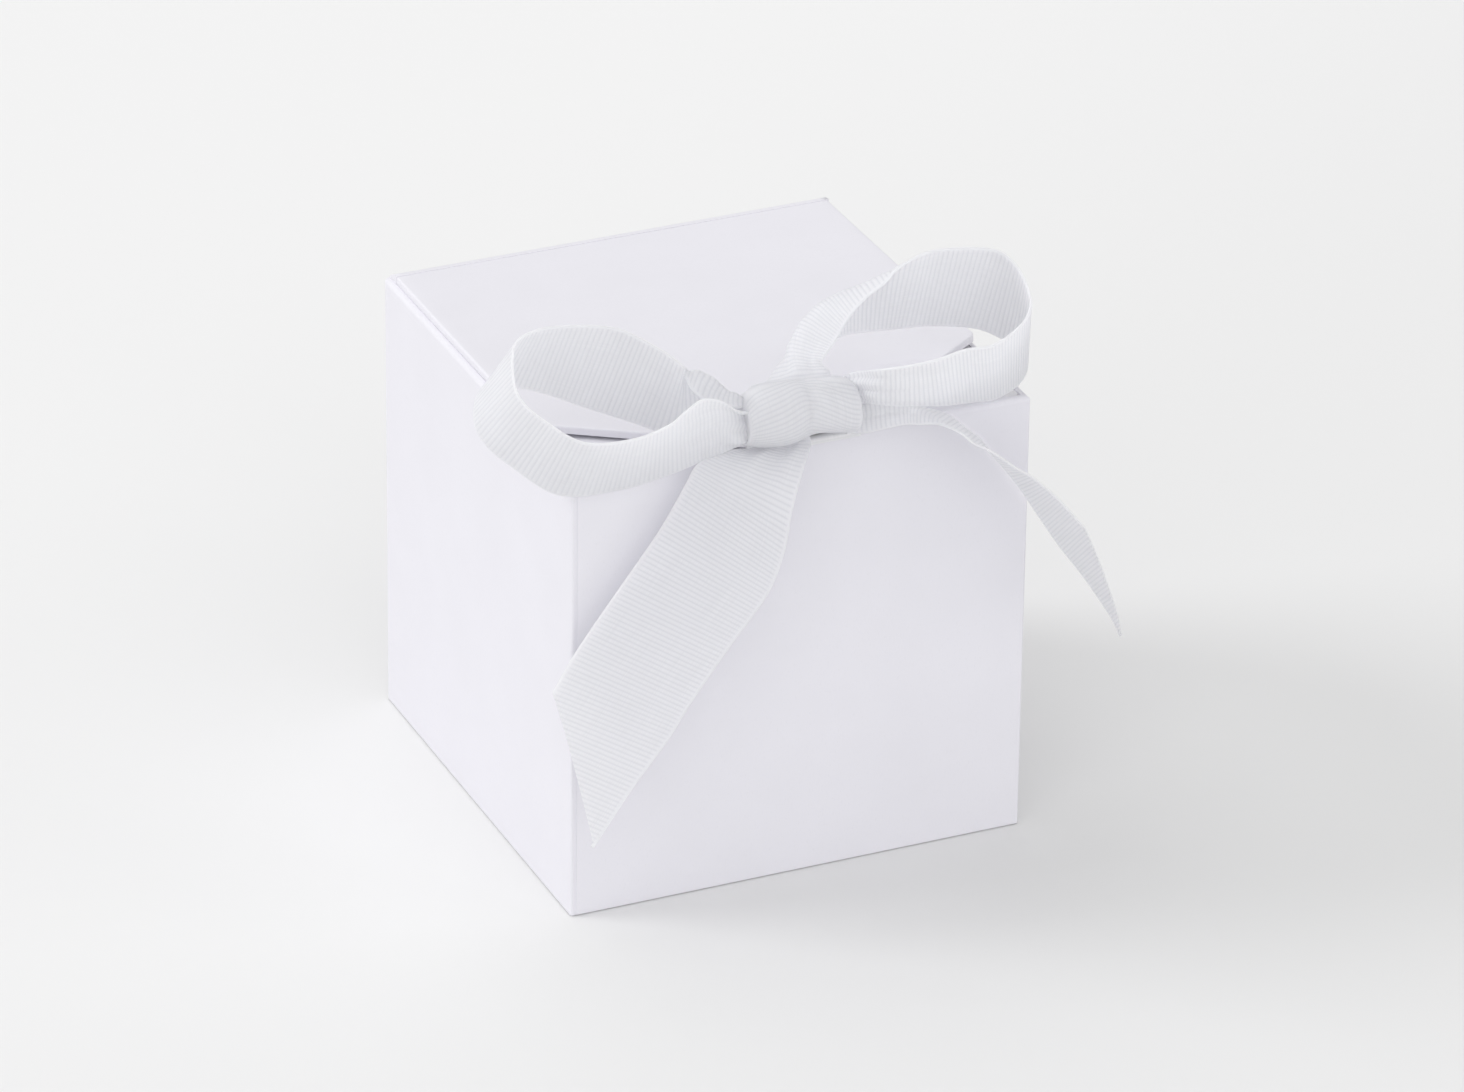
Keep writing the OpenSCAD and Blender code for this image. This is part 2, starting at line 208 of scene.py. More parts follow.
def board_material(name, colour):
    """Grey board with recycled flecks."""
    mat, nodes, links, shader = new_material(name, roughness=0.9, specular=0.2)
    even = object_coords(nodes, links, scale=(1.0, 1.0, 1.0))
    specks = noise(nodes, links, even, scale=900.0, detail=3.0, roughness=0.7)
    tone = ramp(
        nodes, links, specks,
        [(0.25, shade(colour, 0.72)), (0.45, colour), (0.8, shade(colour, 1.12))],
    )
    links.new(tone, shader.inputs["Base Color"])
    bump(nodes, links, shader, specks, strength=0.25, distance=0.0001)
    return mat


def ribbon_material(name, colour, through_share):
    """Grosgrain: painted shade in the valleys between the cross ribs, fine lengthwise yarn and a smooth pale
    selvedge. A share of the light goes through it."""
    mat, nodes, links, shader = new_material(
        name, roughness=0.62, specular=0.35, sheen=0.25, sheen_roughness=0.35
    )
    # The ribbon's points carry a mask of painted shade for the valleys between its ribs.
    valley_shade_mask = attribute(nodes, "rib_painted_shade")
    selvedge = attribute(nodes, "selvedge")
    uv = nodes.new("ShaderNodeUVMap")
    uv.uv_map = "weave"
    yarn_map = nodes.new("ShaderNodeMapping")
    yarn_map.inputs["Scale"].default_value = (1.0, 60.0, 1.0)
    links.new(uv.outputs["UV"], yarn_map.inputs["Vector"])
    yarn = noise(nodes, links, yarn_map.outputs["Vector"], scale=1.6, detail=2.0, roughness=0.6)
    yarn_tone_colour = ramp(nodes, links, yarn, [(0.3, shade(colour, 0.965)), (0.7, shade(colour, 1.02))])
    # Painted shade: the valleys between the ribs take a darker copy of the ribbon's colour.
    valley_shade_colour = tuple(c * k for c, k in zip(colour, (0.885, 0.89, 0.90)))
    valley_shaded = mix_colour(nodes, links, valley_shade_mask, yarn_tone_colour, valley_shade_colour)
    edged = mix_colour(nodes, links, selvedge, valley_shaded, shade(colour, 0.99))
    links.new(edged, shader.inputs["Base Color"])
    bump(nodes, links, shader, yarn, strength=0.18, distance=0.00006)
    through = nodes.new("ShaderNodeBsdfTranslucent")
    links.new(edged, through.inputs["Color"])
    blend = nodes.new("ShaderNodeMixShader")
    blend.inputs["Fac"].default_value = through_share
    links.new(shader.outputs["BSDF"], blend.inputs[1])
    links.new(through.outputs["BSDF"], blend.inputs[2])
    out = next(n for n in nodes if n.type == "OUTPUT_MATERIAL")
    links.new(blend.outputs["Shader"], out.inputs["Surface"])
    return mat


COVER_COLOUR = (0.792, 0.783, 0.832)
LINING_COLOUR = (0.825, 0.820, 0.840)
BOARD_COLOUR = (0.42, 0.40, 0.37)
RIBBON_COLOUR = (0.970, 0.970, 0.985)
GLUED_COLOUR = shade(RIBBON_COLOUR, 0.90)

cover_paper = paper_material("cover_paper", COVER_COLOUR, roughness=0.58, fibre=0.35, specular=0.35)
lining_paper = paper_material("lining_paper", LINING_COLOUR, roughness=0.75, fibre=0.5, specular=0.25)
grey_board = board_material("grey_board", BOARD_COLOUR)
grosgrain = ribbon_material("grosgrain", RIBBON_COLOUR, through_share=0.58)
glued_grosgrain = ribbon_material("glued_grosgrain", GLUED_COLOUR, through_share=0.04)

SLOT_MATERIALS = {
    "covering_paper": cover_paper,
    "lining_paper": lining_paper,
    "grey_board": grey_board,
    "white_ribbon": grosgrain,
}
for entry in frame["record"]["subparts"]:
    mesh = frame["nodes"][entry["node"]].data
    mesh.materials.clear()
    mesh.materials.append(SLOT_MATERIALS[entry["material_slot"]])


# Meshes


def make_piece(name, points, faces, body, slot_name):
    """A mesh piece from points in millimetres; it rides on a body and takes its slot's material."""
    mesh = bpy.data.meshes.new(name)
    mesh.from_pydata((np.asarray(points) * MM).tolist(), [], faces)
    mesh.validate()
    mesh.polygons.foreach_set("use_smooth", [True] * len(mesh.polygons))
    mesh.materials.append(SLOT_MATERIALS[slot_name])
    piece = bpy.data.objects.new(name, mesh)
    bpy.context.scene.collection.objects.link(piece)
    if body:
        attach(piece, body)
    return piece


def tube_faces(rings, ring_points):
    """Faces of a tube of closed rings, then one face over each of its ends."""
    at = np.arange(rings * ring_points).reshape(rings, ring_points)
    following = np.roll(at, -1, axis=1)
    faces = np.stack([at[:-1], at[1:], following[1:], following[:-1]], 2).reshape(-1, 4).tolist()
    return faces + [at[0].tolist(), at[-1][::-1].tolist()]


def sheet_faces(rows, columns):
    """Faces of a closed thin sheet, the grid of its upper points followed by the grid of its under ones."""
    at = np.arange(rows * columns).reshape(rows, columns)
    back = at + rows * columns
    groups = (
        (at[:-1, :-1], at[1:, :-1], at[1:, 1:], at[:-1, 1:]),
        (back[:-1, :-1], back[:-1, 1:], back[1:, 1:], back[1:, :-1]),
        (at[:-1, 0], back[:-1, 0], back[1:, 0], at[1:, 0]),
        (at[:-1, -1], at[1:, -1], back[1:, -1], back[:-1, -1]),
        (at[0, :-1], at[0, 1:], back[0, 1:], back[0, :-1]),
        (at[-1, :-1], back[-1, :-1], back[-1, 1:], at[-1, 1:]),
    )
    return np.concatenate([np.stack([c.ravel() for c in group], 1) for group in groups]).tolist()


def point_attribute(piece, name, values):
    layer = piece.data.attributes.new(name, "FLOAT", "POINT")
    layer.data.foreach_set("value", np.asarray(values, np.float32).ravel())


def unit(v):
    return v / np.maximum(np.linalg.norm(v, axis=-1, keepdims=True), TINY)


def surface_of(grid):
    """The direction that each point of a grid faces."""
    return unit(np.cross(np.gradient(grid, axis=0), np.gradient(grid, axis=1)))


def run_along(line):
    """How far each point of a line lies along it."""
    return np.concatenate([[0], np.cumsum(np.linalg.norm(np.diff(line, axis=0), axis=1))])


def smooth_rows(rows, steps):
    """Catmull-Rom curve through rows of any shape, with a number of steps between two rows."""
    rows = np.asarray(rows, float)
    padded = np.concatenate([2 * rows[:1] - rows[1:2], rows, 2 * rows[-1:] - rows[-2:-1]])
    t = (np.arange(steps) / steps).reshape((1, steps) + (1,) * (rows.ndim - 1))
    a, b, c, d = (padded[k : len(padded) - 3 + k][:, None] for k in range(4))
    fine = (2 * b + (c - a) * t + (2 * a - 5 * b + 4 * c - d) * t**2 + (3 * b - 3 * c + d - a) * t**3) / 2
    return np.concatenate([fine.reshape((-1,) + rows.shape[1:]), rows[-1:]])


def column_places():
    """Places across the ribbon, from 0 to 1, closer together at the selvedges."""
    edge = SELVEDGE_W / RIBBON_W
    low = edge * np.array([0, 0.5, 1])
    first = edge * FIRST_COLUMN_SHARE
    inner = np.linspace(first, 1 - first, BAND_COLUMNS - 2 * len(low))
    return np.concatenate([low, inner, 1 - low[::-1]])


def section(points):
    """Points across the ribbon at the column places, on a smooth line through a row's points."""
    points = np.asarray(points, float)
    line = points if len(points) == 2 else smooth_rows(points, SECTION_STEPS)
    run = run_along(line)
    place = column_places() * run[-1]
    return np.column_stack([np.interp(place, run, line[:, k]) for k in range(3)])


def even_rows(rows, waves):
    """Grid and gathers at even steps along the ribbon, how far each step lies along it, and how far each of
    the given rows does."""
    grid = smooth_rows([row if len(row) == BAND_COLUMNS else section(row) for row in rows], ROW_STEPS)
    waves = smooth_rows(np.zeros(len(rows)) if waves is None else waves, ROW_STEPS)
    run = run_along(grid[:, BAND_COLUMNS // 2])
    place = np.linspace(0, run[-1], int(round(run[-1] / RIB_PITCH * RIB_SAMPLES)) + 1)
    low = np.searchsorted(run, place, side="right").clip(1, len(run) - 1) - 1
    part = ((place - run[low]) / np.maximum(run[low + 1] - run[low], TINY))[:, None, None]
    grid = grid[low] * (1 - part) + grid[low + 1] * part
    return grid, np.interp(place, run, waves)[:, None], place, run[::ROW_STEPS]


def cut_slanting(grid, run, start, kept):
    """Cuts the ribbon's end from a place along it: the columns close up towards the selvedge that is kept,
    0 for the first and 1 for the last."""
    columns = column_places()
    taken = np.clip((run - start) / (run[-1] - start), 0, CUT_END)[:, None]
    across = columns * (1 - taken) + kept * taken
    where = np.interp(across, columns, np.arange(BAND_COLUMNS))
    first = np.floor(where).astype(int).clip(0, BAND_COLUMNS - 2)
    rest = (where - first)[:, :, None]
    line = np.arange(len(run))[:, None]
    return grid[line, first] * (1 - rest) + grid[line, first + 1] * rest, across


def gather_surface(grid, waves, run, across, phase):
    """Moves the grid in and out in soft waves across the band, which fade at the selvedges."""
    fade = np.clip(np.minimum(across, 1 - across) * GATHER_FADE, 0, 1)
    wave = np.sin(2 * math.pi * (GATHER_WAVES * across + GATHER_DRIFT * run[:, None]) + phase)
    fine_wave = FINE_SHARE * np.sin(FINE_HALF_TURNS * math.pi * across + phase)
    gather = waves * fade * (wave + fine_wave)
    return grid + surface_of(grid) * gather[:, :, None]


def mark_weave(piece, run, across, rib, inside):
    """Gives both sides of a ribbon what its material reads: the valleys' painted shade, selvedges and the run
    of the yarn.
    """
    # Painted shade in the valleys: strongest where a rib dips, none on the crests or at the selvedges.
    valley_shade_mask = ((1 - rib) ** PAINTED_SHADE_SHARPNESS * inside).ravel()
    point_attribute(piece, "rib_painted_shade", np.concatenate([valley_shade_mask, valley_shade_mask]))
    border = np.clip(1 - inside, 0, 1).ravel()
    point_attribute(piece, "selvedge", np.concatenate([border, border]))
    weave = piece.data.uv_layers.new(name="weave")
    flat = np.stack([np.tile((run / RIBBON_W)[:, None], (1, BAND_COLUMNS)), across], 2).reshape(-1, 2)
    flat = np.vstack([flat, flat])
    corner = np.zeros(len(piece.data.loops), np.int32)
    piece.data.loops.foreach_get("vertex_index", corner)
    weave.data.foreach_set("uv", flat[corner].astype(np.float32).ravel())


def ribbon_piece(name, rows, body, waves=None, cut_row=None, kept=0, lift=None, phase=0.0):
    """A closed ribbon with real cross ribs, its length and, if it is cut, its area. A row is a list of points
    across it, or all its columns. waves holds each row's gather in millimetres. A slanting cut starts at
    cut_row and leaves the selvedge that is kept."""
    grid, waves, run, row_run = even_rows(rows, waves)
    across = np.tile(column_places(), (len(run), 1))
    length, area = run[-1], None
    if cut_row is not None:
        start = row_run[cut_row]
        grid, across = cut_slanting(grid, run, start, kept)
        area = RIBBON_W * length * (1 - (1 - start / length) / 2)
    grid = gather_surface(grid, waves, run, across, phase)
    surface = surface_of(grid)
    rib = np.abs(np.sin(math.pi * run / RIB_PITCH))[:, None]
    edge_mm = np.minimum(across, 1 - across) * RIBBON_W
    inside = np.clip((edge_mm - SELVEDGE_W * RIBS_FROM_SHARE) / (SELVEDGE_W * RIBS_RISE_SHARE), 0, 1)
    height = inside * rib**RIB_ROUNDNESS + (1 - inside) * SELVEDGE_RISE_SHARE
    rise = RIBBON_T / 2 + RIB_HEIGHT * height
    rise = (rise * np.where(edge_mm < THIN_EDGE_W, THIN_EDGE_SHARE, 1.0))[:, :, None]
    points = np.vstack([(grid + surface * rise).reshape(-1, 3), (grid - surface * rise).reshape(-1, 3)])
    if lift is not None:
        points = lift(points)
    piece = make_piece(name, points, sheet_faces(*across.shape), body, "white_ribbon")
    mark_weave(piece, run, across, rib, inside)
    return piece, length, area


# Lid and flaps

# The lid's outline, the inset of the paper under it and how far that reaches below and above the rim's
# height; its rise at the left and what the right adds, and how the rise grows forward and sideways.
LID_SHOULDER = -26.0
TONGUE_X = 13.0
LID_INSET = 12.0
LID_PAPER_BELOW = 0.06
LID_PAPER_ABOVE = 0.1
RISE_LEFT = 0.06
RISE_RIGHT = 1.74
RISE_FORWARD = 1.2
RISE_SIDEWAYS = 1.25
RISE_END = 1.15

# Radii above and below that round the edges of the lid's cover, a flap's cover and the papers under both.
LID_EDGES = (0.5, 0.15)
FLAP_EDGES = (0.45, 0.2)
THIN_EDGES = (0.05, 0.05)

# Points of a panel's sheet: rows from front to back, columns across, steps round a corner, rows at an end.
PANEL_ROWS = 76
PANEL_COLUMNS = 50
CORNER_STEPS = 5
END_ROWS = 6

# How far a flap springs up and how soon it levels out; how far its cover reaches past its node's ends and how
# high above its node's underside it starts; the inset of the paper under it, and how far that paper reaches
# below and above the same underside.
FLAP_SPRING = 0.82
FLAP_LEVEL = 1.45
FLAP_REACH = 0.7
FLAP_COVER_LIFT = 0.12
FLAP_INSET = 4.0
FLAP_PAPER_BELOW = 0.02
FLAP_PAPER_ABOVE = 0.14

# Paper strips over a crease: their thickness, the steps between two points of their section, and the places
# along them.
FOLD_T = 0.2
FOLD_STEPS = 8
FOLD_PLACES = 61


def lid_rise(points):
    """Lifts the lid as the ribbon under its tongue props it open, more on the right than on the left."""
    points = np.array(points, float)
    share = np.clip((LID_BACK - points[:, 1]) / (LID_BACK - LID_SHOULDER), 0, RISE_END)
    side = np.clip((points[:, 0] + LID_X) / (2 * LID_X), 0, 1)
    points[:, 2] += share**RISE_FORWARD * (RISE_LEFT + RISE_RIGHT * side**RISE_SIDEWAYS)
    return points


def lid_plan(y, inset):
    """Half width of the lid at a place from back to front, inside its outline by an inset."""
    slope = (LID_X - TONGUE_X) / (LID_SHOULDER - FRONT_Y)
    taper = TONGUE_X + slope * (y - FRONT_Y) - inset * math.hypot(1, slope)
    return min(LID_X - inset, taper)


def lid_sides(inset):
    return lambda y: (-lid_plan(y, inset), lid_plan(y, inset))


def flap_bend(root, length):
    """Springs a flap up a little between its crease and its free edge."""

    def bend(points):
        points = np.array(points, float)
        share = np.clip((root - np.abs(points[:, 0])) / length, 0, 1)
        points[:, 2] += FLAP_SPRING * np.sin(np.clip(share * FLAP_LEVEL, 0, 1) * math.pi / 2)
        return points

    return bend


def panel_ring(low, high, top, under, over, below):
    """A closed line round a panel's section, as x and z, with its upper and lower corners rounded."""
    falling = [math.pi / 2 * (1 - k / CORNER_STEPS) for k in range(1, CORNER_STEPS + 1)]
    rising = [math.pi / 2 * k / CORNER_STEPS for k in range(CORNER_STEPS)]
    ring = [(x, top) for x in np.linspace(low + over, high - over, PANEL_COLUMNS)]
    ring += [(high - over + over * math.cos(a), top - over + over * math.sin(a)) for a in falling]
    ring += [(high - below + below * math.cos(a), under + below - below * math.sin(a)) for a in rising]
    ring += [(x, under) for x in np.linspace(high - below, low + below, PANEL_COLUMNS)]
    ring += [(low + below - below * math.cos(a), under + below - below * math.sin(a)) for a in falling]
    ring += [(low + over - over * math.cos(a), top - over + over * math.sin(a)) for a in rising]
    return ring


def rounded_layer(name, front, back, sides, z_low, z_high, edges, shape, body, slot_name):
    """One sheet of a panel: sides gives its two edges at a place from front to back, edges holds the radii
    that round them above and below, and shape bends the sheet."""
    over, below = edges
    turn = np.linspace(0, math.pi / 2, END_ROWS)
    rows_y = np.concatenate([
        front + over * (1 - np.cos(turn)),
        np.linspace(front + over, back - over, PANEL_ROWS)[1:-1],
        back - over + over * np.sin(turn),
    ])
    sections = []
    for y in rows_y:
        reach = min(y - front, back - y)
        top = z_high - over + math.sqrt(max(0.0, over**2 - max(0.0, over - reach) ** 2))
        under = z_low + below - math.sqrt(max(0.0, below**2 - max(0.0, below - reach) ** 2))
        low, high = sides(y)
        sections.append([(x, y, z) for x, z in panel_ring(low, high, top, under, over, below)])
    sections = np.array(sections)
    faces = tube_faces(*sections.shape[:2])
    return make_piece(name, shape(sections.reshape(-1, 3)), faces, body, slot_name)


lid_cover = rounded_layer(
    "lid_cover_paper", FRONT_Y, LID_BACK, lid_sides(0.0), RIM_Z, LID_TOP, LID_EDGES, lid_rise,
    "lid", "covering_paper",
)
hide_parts("lid_wrap", "lid_board")
lid_inside = rounded_layer(
    "lid_inner_paper", FRONT_Y + LID_INSET, LID_BACK - LID_INSET, lid_sides(LID_INSET),
    RIM_Z - LID_PAPER_BELOW, RIM_Z + LID_PAPER_ABOVE, THIN_EDGES, lid_rise, "lid", "lining_paper",
)
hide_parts("lid_lining")

for side_name, sign in SIDES:
    low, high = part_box(side_name + "_flap_wrap")
    ends = sorted(abs(c) / MM for c in (low.x, high.x))
    left_x, right_x = sorted(sign * c for c in ends)
    bend = flap_bend(ends[1], ends[1] - ends[0])
    upper = rounded_layer(
        side_name + "_flap_cover", low.y / MM - FLAP_REACH, high.y / MM + FLAP_REACH,
        lambda y: (left_x, right_x), low.z / MM + FLAP_COVER_LIFT, high.z / MM, FLAP_EDGES, bend,
        side_name + "_flap", "covering_paper",
    )
    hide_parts(side_name + "_flap_wrap", side_name + "_flap_board")
    under = rounded_layer(
        side_name + "_flap_under_paper", low.y / MM + FLAP_INSET, high.y / MM - FLAP_INSET,
        lambda y: (left_x + FLAP_INSET, right_x - FLAP_INSET),
        low.z / MM - FLAP_PAPER_BELOW, low.z / MM + FLAP_PAPER_ABOVE, THIN_EDGES, bend,
        side_name + "_flap", "lining_paper",
    )
    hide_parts(side_name + "_flap_lining")


def mirrored(point, sign):
    return (sign * point[0], *point[1:])


def folded_strip(
    name, line, runs, ends, replaced, slot_name, lift=None, closed_at=None
):
    """A paper strip bent about a crease: line holds its section from one body to the other, and the strip
    runs along x or y between its ends. closed_at is the height that both ends reach down to, tucked in."""
    line = smooth_rows(line, FOLD_STEPS)
    flow = unit(np.gradient(line, axis=0))
    outward = np.column_stack([-flow[:, 1], flow[:, 0]])
    ring = np.vstack([line + outward * FOLD_T / 2, (line - outward * FOLD_T / 2)[::-1]])
    count = len(ring)
    points = []
    for place in np.linspace(ends[0], ends[1], FOLD_PLACES):
        at_end = closed_at is not None and place in ends
        for k, (a, z) in enumerate(ring):
            if at_end and k < count // 2:
                z = min(z, closed_at)
            points.append((place, a, z) if runs == "x" else (a, place, z))
    if lift is not None:
        points = lift(points)
    faces = tube_faces(FOLD_PLACES, count)
    piece = make_piece(name, points, faces, None, slot_name)
    for k, face in enumerate(piece.data.polygons):
        if k >= len(faces) - 2 or k % count in (count // 2 - 1, count - 1):
            face.use_smooth = False
    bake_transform(piece)
    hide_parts(replaced)


# The lid's paper hinge: its section as y and z, where it starts and ends bending, how far it reaches past the
# lid's side edges, and how high above the rim its tucked ends stop.
LID_FOLD = (
    (49.9, 97.2), (49.95, 98.2), (49.75, 98.75), (48.9, 99.4), (47.9, 99.93), (47.2, 100.08),
    (46.4, 100.12),
)
HINGE_REACH = 0.1
HINGE_TUCK = 0.02

# The right flap's fold: its section as x and z, where it starts and ends bending, and its half length.
FLAP_FOLD = ((48.5, 97.4), (48.45, 97.98), (48.1, 98.12), (47.4, 97.78), (46.7, 97.45), (45.8, 97.42))
FLAP_FOLD_Y = 47.6

folded_strip(
    "lid_hinge_paper", LID_FOLD, "x", (-LID_X - HINGE_REACH, LID_X + HINGE_REACH),
    "lid_hinge_strip", "covering_paper", lid_rise, RIM_Z + HINGE_TUCK,
)
for side_name, sign in SIDES:
    folded_strip(
        side_name + "_flap_paper", [mirrored(point, sign) for point in FLAP_FOLD], "y",
        (-FLAP_FOLD_Y, FLAP_FOLD_Y),
        side_name + "_fold", "lining_paper",
    )


# Bow

# Each row crosses the ribbon from one selvedge to the other, in millimetres; a row with more than two
# points is folded or curled there. WAVES holds how far each row is gathered, and CUT is the row where the
# slanting cut starts.
LEFT_LOOP = [
    [[-10.1, -51.0, 104.1], [-10.5, -52.0, 107.6], [-11.0, -53.0, 109.5]],
    [[-13.5, -50.0, 103.2], [-15.1, -51.5, 109.6], [-16.0, -52.5, 112.0], [-16.5, -54.5, 110.8]],
    [[-15.9, -49.5, 102.6], [-17.3, -50.5, 109.9], [-18.0, -51.5, 113.2], [-20.1, -55.0, 112.6]],
    [[-18.3, -49.0, 102.1], [-19.5, -49.5, 111.9], [-20.4, -50.8, 116.3], [-24.2, -55.0, 114.3]],
    [[-20.4, -48.0, 101.4], [-22.5, -49.5, 112.9], [-23.7, -50.8, 118.6], [-26.6, -54.0, 116.9]],
    [[-23.4, -47.0, 101.3], [-25.7, -50.0, 112.9], [-26.4, -51.0, 119.3], [-27.7, -53.0, 120.7]],
    [[-28.5, -44.5, 103.0], [-28.9, -55.5, 122.9]],
    [[-34.0, -41.5, 105.1], [-32.9, -53.0, 126.3]],
    [[-42.0, -37.0, 107.8], [-40.2, -48.4, 130.0]],
    [[-50.0, -33.0, 110.8], [-50.5, -46.6, 131.6]],
    [[-57.5, -31.3, 112.6], [-57.4, -46.9, 131.8]],
    [[-62.5, -31.8, 112.0], [-61.6, -48.6, 130.2]],
    [[-65.3, -36.5, 108.8], [-64.0, -54.0, 126.2]],
    [[-64.8, -40.5, 105.9], [-64.2, -58.0, 123.5]],
    [[-61.5, -44.5, 102.6], [-61.5, -61.8, 120.6]],
    [[-53.5, -52.0, 97.6], [-55.0, -67.8, 116.9]],
    [[-41.0, -53.5, 97.1], [-45.2, -69.0, 116.3]],
    [[-30.9, -53.5, 98.3], [-37.0, -67.4, 117.0]],
    [[-26.7, -53.5, 99.2], [-30.4, -60.8, 109.9], [-32.3, -65.0, 118.0]],
    [[-22.8, -53.5, 100.2], [-25.9, -59.5, 110.3], [-26.6, -60.5, 114.2], [-27.3, -62.0, 118.3]],
    [[-19.5, -53.8, 101.1], [-21.2, -57.5, 108.4], [-21.4, -57.5, 111.5], [-22.4, -60.0, 116.0]],
    [[-16.7, -54.3, 102.1], [-17.9, -57.0, 106.0], [-17.0, -55.3, 109.1], [-18.2, -57.5, 112.1]],
    [[-14.0, -54.0, 101.9], [-14.9, -56.0, 105.5], [-14.3, -54.3, 107.7], [-15.0, -56.0, 110.3]],
    [[-10.1, -53.5, 102.4], [-10.5, -54.5, 105.0], [-10.4, -54.0, 106.9], [-10.6, -54.5, 108.5]],
]
LEFT_WAVES = [0.3, 0.5, 0.4, 0.2, 0.1] + [0] * 13 + [0.1, 0.15, 0.2, 0.3, 0.4, 0.3]
RIGHT_LOOP = [
    [[5.6, -51.0, 103.1], [5.7, -51.0, 107.2], [6.1, -50.5, 110.2]],
    [[7.9, -53.2, 106.1], [7.7, -53.6, 109.8], [8.1, -52.6, 112.7]],
    [[10.4, -54.6, 106.9], [9.6, -56.2, 111.4], [9.5, -56.2, 114.8]],
    [[13.2, -57.0, 107.0], [10.8, -62.0, 113.7], [9.8, -64.0, 118.7]],
    [[18.7, -57.0, 105.6], [15.6, -63.5, 113.9], [13.6, -67.3, 120.2]],
    [[27.0, -57.0, 104.1], [19.8, -68.8, 121.2]],
    [[34.0, -54.8, 102.4], [26.2, -68.2, 121.9]],
    [[41.0, -52.5, 100.9], [33.5, -66.0, 120.6]],
    [[47.3, -49.0, 100.9], [41.0, -61.7, 121.1]],
    [[51.0, -45.5, 102.2], [44.7, -58.6, 122.4]],
    [[51.8, -42.0, 103.6], [46.4, -55.5, 124.1]],
    [[48.8, -37.8, 106.2], [46.2, -50.0, 128.0]],
    [[43.5, -35.0, 108.3], [42.8, -46.0, 130.8]],
    [[35.0, -32.5, 109.2], [32.6, -44.5, 132.2]],
    [[29.5, -31.5, 109.2], [26.5, -44.8, 131.9]],
    [[26.5, -31.0, 109.2], [24.0, -38.5, 121.5], [22.2, -43.8, 129.2], [21.3, -46.0, 130.0]],
    [[23.3, -31.0, 109.5], [20.6, -38.0, 121.5], [19.3, -42.0, 127.3], [18.7, -46.3, 127.8]],
    [[19.3, -32.0, 110.3], [17.0, -37.0, 120.5], [15.6, -40.3, 125.1], [14.8, -46.5, 125.6]],
    [[15.5, -33.5, 111.0], [13.3, -37.0, 119.5], [11.5, -39.8, 123.9], [11.6, -47.0, 123.1]],
    [[11.3, -36.0, 111.1], [8.7, -38.3, 118.6], [7.0, -40.6, 122.6], [9.2, -47.7, 120.5]],
    [[7.4, -38.5, 111.2], [4.1, -40.0, 116.8], [2.7, -42.0, 119.9], [6.9, -48.8, 118.2]],
    [[2.9, -42.0, 111.4], [0.2, -42.8, 114.6], [-1.0, -44.3, 116.6], [4.6, -49.8, 116.4]],
    [[-2.8, -45.0, 111.0], [-4.1, -46.0, 113.3], [-1.1, -47.8, 114.8], [3.6, -50.2, 114.9]],
    [[-8.5, -47.8, 110.6], [-5.5, -49.0, 112.9], [-1.0, -49.8, 113.9], [4.6, -51.0, 113.6]],
]
RIGHT_WAVES = [0.2, 0.3, 0.35, 0.3, 0.15] + [0] * 15 + [0.1, 0.2, 0.3, 0.3]
FRONT_TAIL = [
    [[-10.5, -51.2, 101.0], [-0.6, -52.3, 101.6]],
    [[-12.7, -52.0, 99.7], [-0.3, -54.0, 99.6]],
    [[-19.2, -53.0, 100.9], [-4.7, -60.2, 97.6]],
    [[-24.9, -54.0, 99.8], [-9.3, -65.4, 91.7]],
    [[-27.9, -54.7, 95.9], [-11.3, -66.4, 83.5]],
    [[-33.6, -55.1, 87.1], [-14.7, -66.1, 74.5]],
    [[-43.2, -55.5, 74.9], [-23.0, -65.7, 63.6]],
    [[-51.6, -55.7, 63.9], [-31.2, -66.1, 53.1]],
    [[-56.6, -55.9, 56.0], [-35.9, -66.3, 46.3]],
    [[-62.9, -56.1, 46.3], [-43.6, -66.3, 36.8]],
    [[-70.3, -56.3, 33.9], [-51.9, -66.2, 25.0]],
]
FRONT_WAVES = [0.3, 0.35, 0.25, 0.1, 0, 0, 0, 0, 0, 0, 0]
FRONT_CUT = 8
